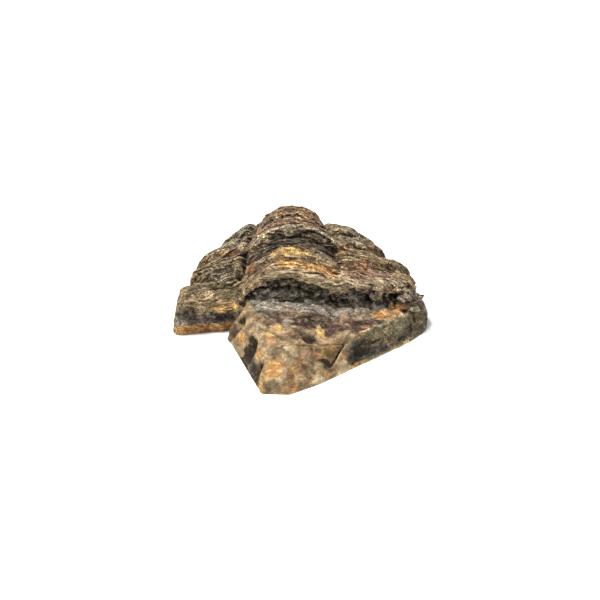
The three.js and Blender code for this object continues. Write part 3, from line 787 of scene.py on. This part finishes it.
# Each colour covers those before it: dark and light, in sRGB, and the noise that frays its edge.
COLOURS = {
    "olive": ((52, 47, 34), (134, 123, 92), "cloud"),
    "plum": ((72, 47, 40), (162, 122, 103), "streak"),
    "slate": ((26, 24, 22), (86, 80, 73), "speck"),
    "grey": ((72, 66, 59), (157, 148, 133), "speck"),
    "ochre": ((70, 52, 28), (146, 114, 68), "cloud"),
    "gold": ((122, 92, 50), (212, 172, 106), "cloud"),
    "amber": ((120, 82, 42), (208, 156, 94), "streak"),
    "rust": ((80, 46, 28), (172, 112, 76), "speck"),
    "pale": ((138, 121, 92), (210, 192, 158), "cloud"),
    "sand": ((100, 82, 58), (170, 146, 110), "speck"),
    "earth": ((42, 31, 22), (96, 74, 54), "speck"),
    "wine": ((26, 17, 16), (86, 63, 57), "streak"),
    # black: the stone's own black in places, painted shade in pits, cracks, furrows and the trench
    "black_and_shade": ((8, 5, 3), (28, 20, 14), "speck"),
}
LINE_GAP = 0.95  # millimetres between the finest layers
BUMP_DEPTH = 0.6 * MM


def colour_weights(at):
    """How strongly each colour shows at each point, from 0 to 1."""
    x, y, z, s, t, axis, block, cheek = at.x, at.y, at.z, at.s, at.t, at.axis, at.block, at.cheek
    left, right = at.left_lobe, at.right_lobe
    cloud = noises[3].cloudy(at.xyz, 3.2)
    cloud2 = noises[4].cloudy(at.xyz, 2.6)
    hidden = smooth(40, 44, s)
    far_axis = axis * smooth(33.5, 36, s)
    near_right = right * fade(26, 28, t)
    far_right = right * smooth(29, 31, t)
    outer = smooth(-3, -0.6, np.abs(x) - 20.6 + 0.42 * np.maximum(s - 22, 0))
    strip = block * fade(2, 2.6, z)
    block_top = block * smooth(2.2, 2.6, z)
    cheek_top = cheek * smooth(0.6, 1, z)
    open_head = at.head * (1 - at.wall) * (1 - cheek)
    front = open_head * fade(11, 13, y) * (1 - at.flake)
    corner = at.wall * fade(5.4, 6.4, y)
    ridge_line = at.head * smooth(12, 14, x) * smooth(4, 4.6, z)
    dark_top = smooth(10.8, 12.6, y + 0.1 * (x - 5) + 0.8 * cloud) * fade(16.4, 17.4, y)
    dark_top = open_head * dark_top * smooth(-7, 0, x)
    weights = {
        "sand": 0.7 * at.wall * span(y, 12, 13, 16.2, 17) + 0.7 * at.rim
        + 0.4 * left * smooth(-0.2, 0.3, cloud) + 0.55 * right * smooth(-0.1, 0.3, cloud2),
        "earth": 0.35 * at.flake + 0.35 * strip + 0.8 * dark_top + 0.6 * far_axis
        + 0.5 * left * smooth(0.1, 0.5, -cloud) + 0.6 * axis * span(s, 25.4, 26, 29, 29.6),
        "ochre": 0.5 * strip + 0.9 * at.flake + 0.9 * left * outer * smooth(22, 24, s)
        + 0.5 * left * span(t, 27.5, 28.5, 31, 33) * smooth(-0.3, 0.2, cloud)
        + 0.5 * hidden * smooth(0.1, 0.6, cloud) + 0.9 * right * bell(t, 27.6, 1)
        + 0.8 * corner * smooth(-0.5, 0.2, cloud2),
        "gold": 0.85 * axis * bell(s, 24.7, 0.8) * bell(x, 0.8, 5)
        + 0.9 * cheek * fade(0.35, 0.7, z + 0.04 * (x - 17) + 0.3 * cloud)
        + 0.8 * corner * smooth(-0.1, 0.3, cloud) + 0.6 * strip * fade(-19.5, -17.5, x),
        "amber": 0.75 * axis * span(s, 21.7, 22, 23.6, 24) * smooth(-3, -2, x) + 0.8 * strip
        + 0.8 * far_axis * smooth(-0.3, 0.2, cloud2) + 0.5 * front * smooth(0, 0.4, cloud)
        + 0.7 * axis * bell(s, 30.5, 0.7) * smooth(-0.2, 0.3, cloud),
        "rust": 0.7 * far_axis * smooth(-0.5, 0.1, cloud) * (1 - 0.7 * hidden)
        + 0.9 * strip * smooth(-18.5, -16.5, x) * smooth(-0.6, 0, cloud2)
        + 0.6 * right * bell(t, 29.2, 0.9) + 0.8 * right * bell(x, 13, 3) * bell(t, 25, 1.8)
        + 0.5 * axis * span(s, 29.8, 30.2, 31, 33) * smooth(0, 0.4, cloud2)
        + 0.2 * hidden * smooth(0.1, 0.6, cloud2) + 0.5 * axis * bell(s, 27, 0.5)
        + 0.4 * left * bell(t, 29.5, 1.5) * smooth(-0.2, 0.4, cloud)
        + 0.7 * ridge_line * bell(at.margin, 3.4, 0.4) + 0.42 * front * smooth(-0.1, 0.3, cloud2),
        "plum": 0.8 * axis * span(s, 30.2, 31, 33.6, 34.6) + 0.5 * axis * bell(s, 21.5, 0.25)
        + 0.85 * near_right * smooth(-0.8, 0, cloud)
        + 0.65 * open_head * smooth(10.5, 12.5, y) * smooth(-0.4, 0.3, cloud),
        "olive": 0.6 * left * (1 - 0.4 * smooth(0, 0.5, cloud)) + 0.6 * far_right + 0.9 * cheek
        + 0.5 * hidden * smooth(-0.2, 0.4, -cloud),
        "grey": at.broken * (0.25 + 0.5 * smooth(0.1, 0.5, cloud2) + 0.4 * smooth(8, 11, x))
        + 0.9 * at.lens + 0.3 * left * smooth(0.1, 0.5, cloud2) + 0.6 * left * smooth(29.5, 31.5, t)
        + 0.75 * open_head * smooth(15.5, 16.5, y) + 0.3 * (open_head - dark_top) * smooth(0.1, 0.5, cloud2)
        + 0.7 * block * fade(-20.6, -19.2, x) * smooth(0.4, 1, z) + 0.3 * block * smooth(0.1, 0.4, cloud)
        + 0.35 * axis * bell(s, 24.7, 0.8) * smooth(4, 6, x) + 0.4 * cheek * smooth(0.2, 0.6, cloud2)
        + 0.8 * far_right * smooth(-0.3, 0.2, cloud),
        "slate": at.broken * (0.95 - 0.85 * at.lens - 0.3 * smooth(8, 11, x)) + 0.95 * block_top
        # painted shade in the trench of the lost ring
        + 0.45 * axis * span(s, 26, 26.6, 29.5, 29.8) * smooth(-5, -2, x)
        + 0.5 * far_right * smooth(-0.2, 0.3, cloud2)
        + 0.95 * cheek_top * smooth(1.5, -1.5, x - 16 - 4 * cloud + 1.6 * (z - 2.8))
        + 0.7 * cheek_top * smooth(1.4, -0.4, z - 2.4 - 1.8 * cloud2)
        + 0.8 * open_head * smooth(12.5, 15, y) * smooth(-0.4, 0.2, -cloud2),
        # painted shade in the trench of the lost ring, in the furrows of the head's left side and in the
        # crack round the flake
        "black_and_shade": axis * span(s, 27, 27.8, 29.5, 29.75) * smooth(-6, -3, x)
        + 0.8 * axis * bell(s, 26.1, 0.3) + 0.8 * block_top * smooth(-0.4, 0.1, cloud2)
        + 0.7 * cheek * smooth(1, 1.6, z) * smooth(0.1, 0.5, cloud) * smooth(21, 17, x)
        + 1.05 * at.furrow + 0.95 * smooth(0.25, 0.6, at.crack),
        "wine": 0.95 * dark_top * smooth(-0.5, 0, cloud2)
        + 0.7 * axis * span(s, 25.8, 26.2, 29.5, 29.8) * smooth(-0.2, 0.3, cloud),
        # painted highlight on the lip of the ring behind the trench and along the ridge of the cheek
        "pale": 0.95 * axis * bell(s, 30.1, 0.5) + 0.2 * at.shell * smooth(0.1, 0.6, cloud2)
        + 0.4 * front * smooth(-0.1, 0.4, -cloud2) + 0.7 * near_right * smooth(-0.4, 0.2, cloud2)
        + 0.95 * at.rim + 0.95 * ridge_line * bell(at.margin, 2.45, 0.4),
    }
    for colour, *place, strength in PATCHES:
        patch = strength * spot(at.xyz, place[:3], place[3:])
        left_over = 1 - np.clip(patch, 0, 1)
        for name in weights:
            if name != colour:
                weights[name] = weights[name] * left_over
        weights[colour] = np.maximum(weights[colour], patch)
    return weights


def crevice_shade_at(at, dark, fine, broad):
    """How much painted shade lies in the surface: in cracks, in small hollows and in large ones."""
    dark = dark * (1 - 0.8 * at.rim) * (1 - 0.35 * at.right_lobe)
    crevice = 0.75 * dark + 0.5 * smooth(0.02, 0.12, fine) + 0.6 * smooth(0.15, 0.8, broad)
    return crevice * (1 - 0.6 * at.rim)


def ridge_highlight_at(at, light, fine, broad):
    """How strong the painted highlight is: on edges of layers, on small ridges and on large ones."""
    ridge = 0.7 * light + 0.5 * smooth(0.02, 0.12, -fine) + 0.2 * smooth(0.1, 0.7, -broad)
    return ridge + 0.7 * at.rim + 0.3 * at.right_lobe * fade(25, 27, at.t)


def grit_at(at):
    """How strong the fine marks of the material are."""
    gritty = np.maximum(0.8 * roughness_at(at), at.shell * (1 - 0.4 * at.calm) * (1 - 0.25 * at.back))
    gritty = np.maximum(gritty, 0.8 * at.broken + 0.6 * at.block + 0.35 * at.cheek)
    return 0.08 + 0.92 * gritty * (1 - 0.5 * bell(at.x, -12, 2.6) * bell(at.z, 5.4, 0.9))


def flow_at(at, points):
    """Coordinates that run with the layers on the body, and straight on the head."""
    body = at.body[:, None]
    across = (0.28 - 0.1 * at.left_lobe) * at.x
    along = np.stack([across, FLOW_ALONG * at.t, 0.9 * at.r], axis=1)
    return body * along + (1 - body) * points * HEAD_FLOW


def store(mesh, name, values):
    kind, field = ("FLOAT_VECTOR", "vector") if values.ndim == 2 else ("FLOAT", "value")
    if kind == "FLOAT":
        values = np.clip(values, 0, 1)
    attribute = mesh.attributes.new(name, kind, "POINT")
    attribute.data.foreach_set(field, values.astype(np.float32).ravel())


def link(thing):
    bpy.context.scene.collection.objects.link(thing)
    return thing


def make_stone():
    mesh = raw_mesh()
    points = read(mesh.vertices, "co", 3).astype(float)
    normals = read(mesh.vertices, "normal", 3).astype(float)
    points, dark, light = roughen(points, normals, regions(points))
    points[:, 2] = np.maximum(points[:, 2], 0)
    mesh.vertices.foreach_set("co", ((points - ORIGIN) * MM).astype(np.float32).ravel())
    mesh.update()
    normals = read(mesh.vertices, "normal", 3).astype(float)
    edges = read(mesh.edges, "vertices", 2, np.int32)
    at = regions(points)
    fine, broad = (hollow_depth(points, normals, edges, rounds) for rounds in HOLLOW_ROUNDS)
    # crevice holds painted shade in cracks and hollows, ridge a painted highlight on edges and ridges
    store(mesh, "crevice", crevice_shade_at(at, dark, fine, broad))
    store(mesh, "ridge", ridge_highlight_at(at, light, fine, broad))
    store(mesh, "shell", at.shell * (1 - 0.6 * at.back))
    store(mesh, "grit", grit_at(at))
    store(mesh, "flow", flow_at(at, points))
    for name, values in colour_weights(at).items():
        store(mesh, name, values)
    return link(bpy.data.objects.new("trilobite_stone", mesh))


# ---------------------------------------------------------------- material


def linear(rgb):
    parts = [c / 255 for c in rgb]
    return tuple(c / 12.92 if c <= 0.04045 else ((c + 0.055) / 1.055) ** 2.4 for c in parts) + (1.0,)


class Nodes:
    """A short way to write a node tree."""

    def __init__(self, tree):
        self.tree = tree

    def add(self, kind, inputs, **settings):
        node = self.tree.nodes.new(kind)
        for name, value in settings.items():
            setattr(node, name, value)
        for key, value in inputs.items():
            if isinstance(value, bpy.types.NodeSocket):
                self.tree.links.new(value, node.inputs[key])
            else:
                node.inputs[key].default_value = value
        return node

    def attribute(self, name, output="Fac"):
        return self.add("ShaderNodeAttribute", {}, attribute_name=name).outputs[output]

    def math(self, operation, a, b=0.0, clamp=False):
        return self.add("ShaderNodeMath", {0: a, 1: b}, operation=operation, use_clamp=clamp).outputs[0]

    def plus(self, a, b, clamp=False):
        return self.math("ADD", a, b, clamp)

    def times(self, a, b):
        return self.math("MULTIPLY", a, b)

    def most(self, a, b):
        return self.math("MAXIMUM", a, b)

    def noise(self, vector, scale, detail, roughness, swirl=0.0):
        shape = {"Scale": scale, "Detail": detail, "Roughness": roughness, "Distortion": swirl}
        return self.add("ShaderNodeTexNoise", {"Vector": vector, **shape}).outputs["Fac"]

    def ramp(self, value, low, high, to_low=0.0, to_high=1.0):
        inputs = {"Value": value, "From Min": low, "From Max": high, "To Min": to_low, "To Max": to_high}
        return self.add("ShaderNodeMapRange", inputs, interpolation_type="SMOOTHSTEP").outputs["Result"]

    def mix(self, factor, a, b):
        return self.add("ShaderNodeMix", {"Factor": factor, 6: a, 7: b}, data_type="RGBA").outputs[2]

    def colour(self, name, tone):
        dark, light, _ = COLOURS[name]
        return self.mix(tone, linear(dark), linear(light))

    def scaled(self, colour, factor):
        return self.add("ShaderNodeVectorMath", {0: colour, "Scale": factor}, operation="SCALE").outputs[0]

    def vary(self, colour, noise, reach, depth, amount):
        """Makes a colour lighter and darker by a noise, depth each way where amount is 1."""
        swing = self.times(self.ramp(noise, 0.5 - reach, 0.5 + reach, -depth, depth), amount)
        return self.scaled(colour, self.plus(swing, 1.0))

    def layers(self, flow):
        """Edges of thin layers, in places: a painted line of shade where each starts and a painted
        highlight on the lip above it.
        """
        x, y, z = self.add("ShaderNodeSeparateXYZ", {0: flow}).outputs
        warp = self.times(self.noise(flow, 0.5, 2.0, 0.5), 3.0)
        turn = self.plus(self.times(y, 1.0 / (FLOW_ALONG * LINE_GAP)), warp)
        row = self.times(self.math("FLOOR", turn), 3.7)
        p = self.math("FRACT", turn)
        here = self.add("ShaderNodeCombineXYZ", {0: x, 1: row, 2: z}).outputs[0]
        strength = self.ramp(self.noise(here, 0.8, 2.0, 0.6), 0.42, 0.6)
        line = self.times(self.ramp(p, 0.3, 0.14), strength)
        lip = self.times(self.ramp(p, 0.22, 0.34), self.ramp(p, 0.66, 0.42))
        return line, self.times(lip, strength)


def new_material(name):
    """A new material and the inputs of its shader."""
    material = bpy.data.materials.new(name)
    material.use_nodes = True
    return material, material.node_tree.nodes["Principled BSDF"].inputs


def stone_material():
    material, sockets = new_material("fossil_stone")
    nodes = Nodes(material.node_tree)
    plus, times, most = nodes.plus, nodes.times, nodes.most
    ramp, noise, mix = nodes.ramp, nodes.noise, nodes.mix
    place = nodes.add("ShaderNodeTexCoord", {}).outputs["Object"]
    place = nodes.scaled(place, 1 / MM)
    flow = nodes.attribute("flow", "Vector")
    shell = nodes.attribute("shell")
    grit = nodes.attribute("grit")
    streak = noise(flow, 0.9, 5, 0.65)
    thin = noise(flow, 2.6, 3, 0.6)
    hair = noise(flow, 6.5, 2, 0.6)
    swirl = noise(flow, 0.75, 3, 0.55, 1.6)
    speck = noise(place, 1.7, 4, 0.62, 0.8)
    cloud = noise(place, 0.38, 4, 0.6, 1)
    soft = noise(place, 0.5, 2, 0.5, 1)
    dots = noise(place, 3.8, 2, 0.5)
    # line is painted shade under the edge of each layer, lip a painted highlight above it
    line, lip = (times(part, shell) for part in nodes.layers(flow))

    tone = plus(ramp(thin, 0.34, 0.66, -0.4, 0.4), ramp(speck, 0.3, 0.7, -0.45, 0.45))
    tone = times(tone, plus(times(grit, 0.95), 0.1))
    tone = plus(tone, ramp(cloud, 0.3, 0.7, 0.25, 0.8), clamp=True)
    base = plus(ramp(streak, 0.38, 0.62, -0.5, 0.5), ramp(cloud, 0.3, 0.7, 0.3, 1))
    base = plus(base, times(nodes.math("SUBTRACT", 1, grit), 0.5), clamp=True)
    colour = mix(base, nodes.colour("earth", tone), nodes.colour("sand", tone))
    rag = plus(times(grit, 0.7), 0.35)
    sources = {"cloud": cloud, "streak": streak, "speck": speck}
    for name, (*_, source) in COLOURS.items():
        edge = times(ramp(sources[source], 0.25, 0.75, -0.45, 0.45), rag)
        factor = ramp(plus(nodes.attribute(name), edge), 0.2, 0.8)
        colour = mix(times(factor, 0.9), colour, nodes.colour(name, tone))
    colour = nodes.vary(colour, swirl, 0.15, 0.4, plus(times(grit, 0.5), 0.55))
    colour = nodes.vary(colour, soft, 0.15, 0.22, 1)
    colour = nodes.vary(colour, hair, 0.16, 0.55, grit)
    colour = nodes.vary(colour, dots, 0.16, 0.65, grit)
    # Painted highlight: paler and brighter on ridges and on the edges and lips of the layers.
    painted_highlight = times(nodes.attribute("ridge"), ramp(thin, 0.35, 0.6, 0.25, 0.9))
    painted_highlight = most(painted_highlight, times(lip, 0.7))
    colour = mix(times(painted_highlight, 0.3), colour, linear(COLOURS["pale"][1]))
    colour = nodes.scaled(colour, plus(times(painted_highlight, 0.42), 0.93))
    hole = times(ramp(dots, 0.37, 0.28), times(grit, 0.75))
    vein = ramp(nodes.math("ABSOLUTE", nodes.math("SUBTRACT", swirl, 0.5)), 0.03, 0)
    # Painted shade in crevices, hollows and the dark lines of the layers, joined by black specks and veins,
    # mixed towards black.
    painted_shade_and_specks = plus(nodes.attribute("crevice"), times(line, 0.85), clamp=True)
    painted_shade_and_specks = most(most(painted_shade_and_specks, hole), times(vein, 0.55))
    colour = mix(times(painted_shade_and_specks, 0.93), colour, linear(COLOURS["black_and_shade"][0]))
    nodes.tree.links.new(colour, sockets["Base Color"])

    height = plus(plus(times(streak, 1.2), times(speck, 0.8)), times(thin, 0.5))
    height = plus(height, times(nodes.math("SUBTRACT", lip, line), 0.4))
    bumps = {"Strength": 0.9, "Distance": BUMP_DEPTH, "Height": times(height, grit)}
    nodes.tree.links.new(nodes.add("ShaderNodeBump", bumps).outputs[0], sockets["Normal"])
    nodes.tree.links.new(ramp(speck, 0.3, 0.7, 0.6, 0.9), sockets["Roughness"])
    sockets["Specular IOR Level"].default_value = 0.15
    return material


# ---------------------------------------------------------------- stage

FLOOR_WHITE = 0.92
WORLD_STRENGTH = 0.42
LIGHTS = (  # name, place and size in metres, power in watts
    ("key", (-0.18, 0.02, 0.45), 0.2, 4.4),
    ("fill", (0.25, -0.3, 0.3), 0.3, 0.5),
)
CAMERA_ELEVATION = math.radians(35)
CAMERA_DISTANCE = 0.300
CAMERA_TARGET = Vector((0.0, -0.00395, 0.0075))
CAMERA_LENS = 94.7


def make_floor():
    bpy.ops.mesh.primitive_plane_add(size=6, location=(0, 0, 0))
    floor = bpy.context.object
    floor.name = "floor"
    material, sockets = new_material("floor_white")
    sockets["Base Color"].default_value = (FLOOR_WHITE,) * 3 + (1,)
    sockets["Roughness"].default_value = 0.9
    floor.data.materials.append(material)


def make_light(name, place, size, power):
    """A square area light that looks at the frame's origin."""
    data = bpy.data.lights.new(name, "AREA")
    data.size = size
    data.energy = power
    lamp = link(bpy.data.objects.new(name, data))
    lamp.location = place
    lamp.rotation_euler = (-Vector(place)).to_track_quat("-Z", "Y").to_euler()


def make_world():
    world = bpy.data.worlds.new("studio")
    bpy.context.scene.world = world
    world.use_nodes = True
    background = world.node_tree.nodes["Background"]
    background.inputs["Color"].default_value = (1, 1, 1, 1)
    background.inputs["Strength"].default_value = WORLD_STRENGTH


def make_camera():
    data = bpy.data.cameras.new("camera")
    camera = link(bpy.data.objects.new("camera", data))
    back = Vector((0, -math.cos(CAMERA_ELEVATION), math.sin(CAMERA_ELEVATION)))
    camera.location = CAMERA_TARGET + back * CAMERA_DISTANCE
    camera.rotation_euler = (-back).to_track_quat("-Z", "Y").to_euler()
    data.lens = CAMERA_LENS
    data.sensor_width = 36
    data.clip_start = 0.01
    bpy.context.scene.camera = camera


make_camera()
make_world()
for light in LIGHTS:
    make_light(*light)
make_floor()
bpy.context.scene.view_settings.view_transform = "Standard"

fossil = make_stone()
fossil.data.materials.append(stone_material())
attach(fossil, "root")
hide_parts("trilobite_fossil")
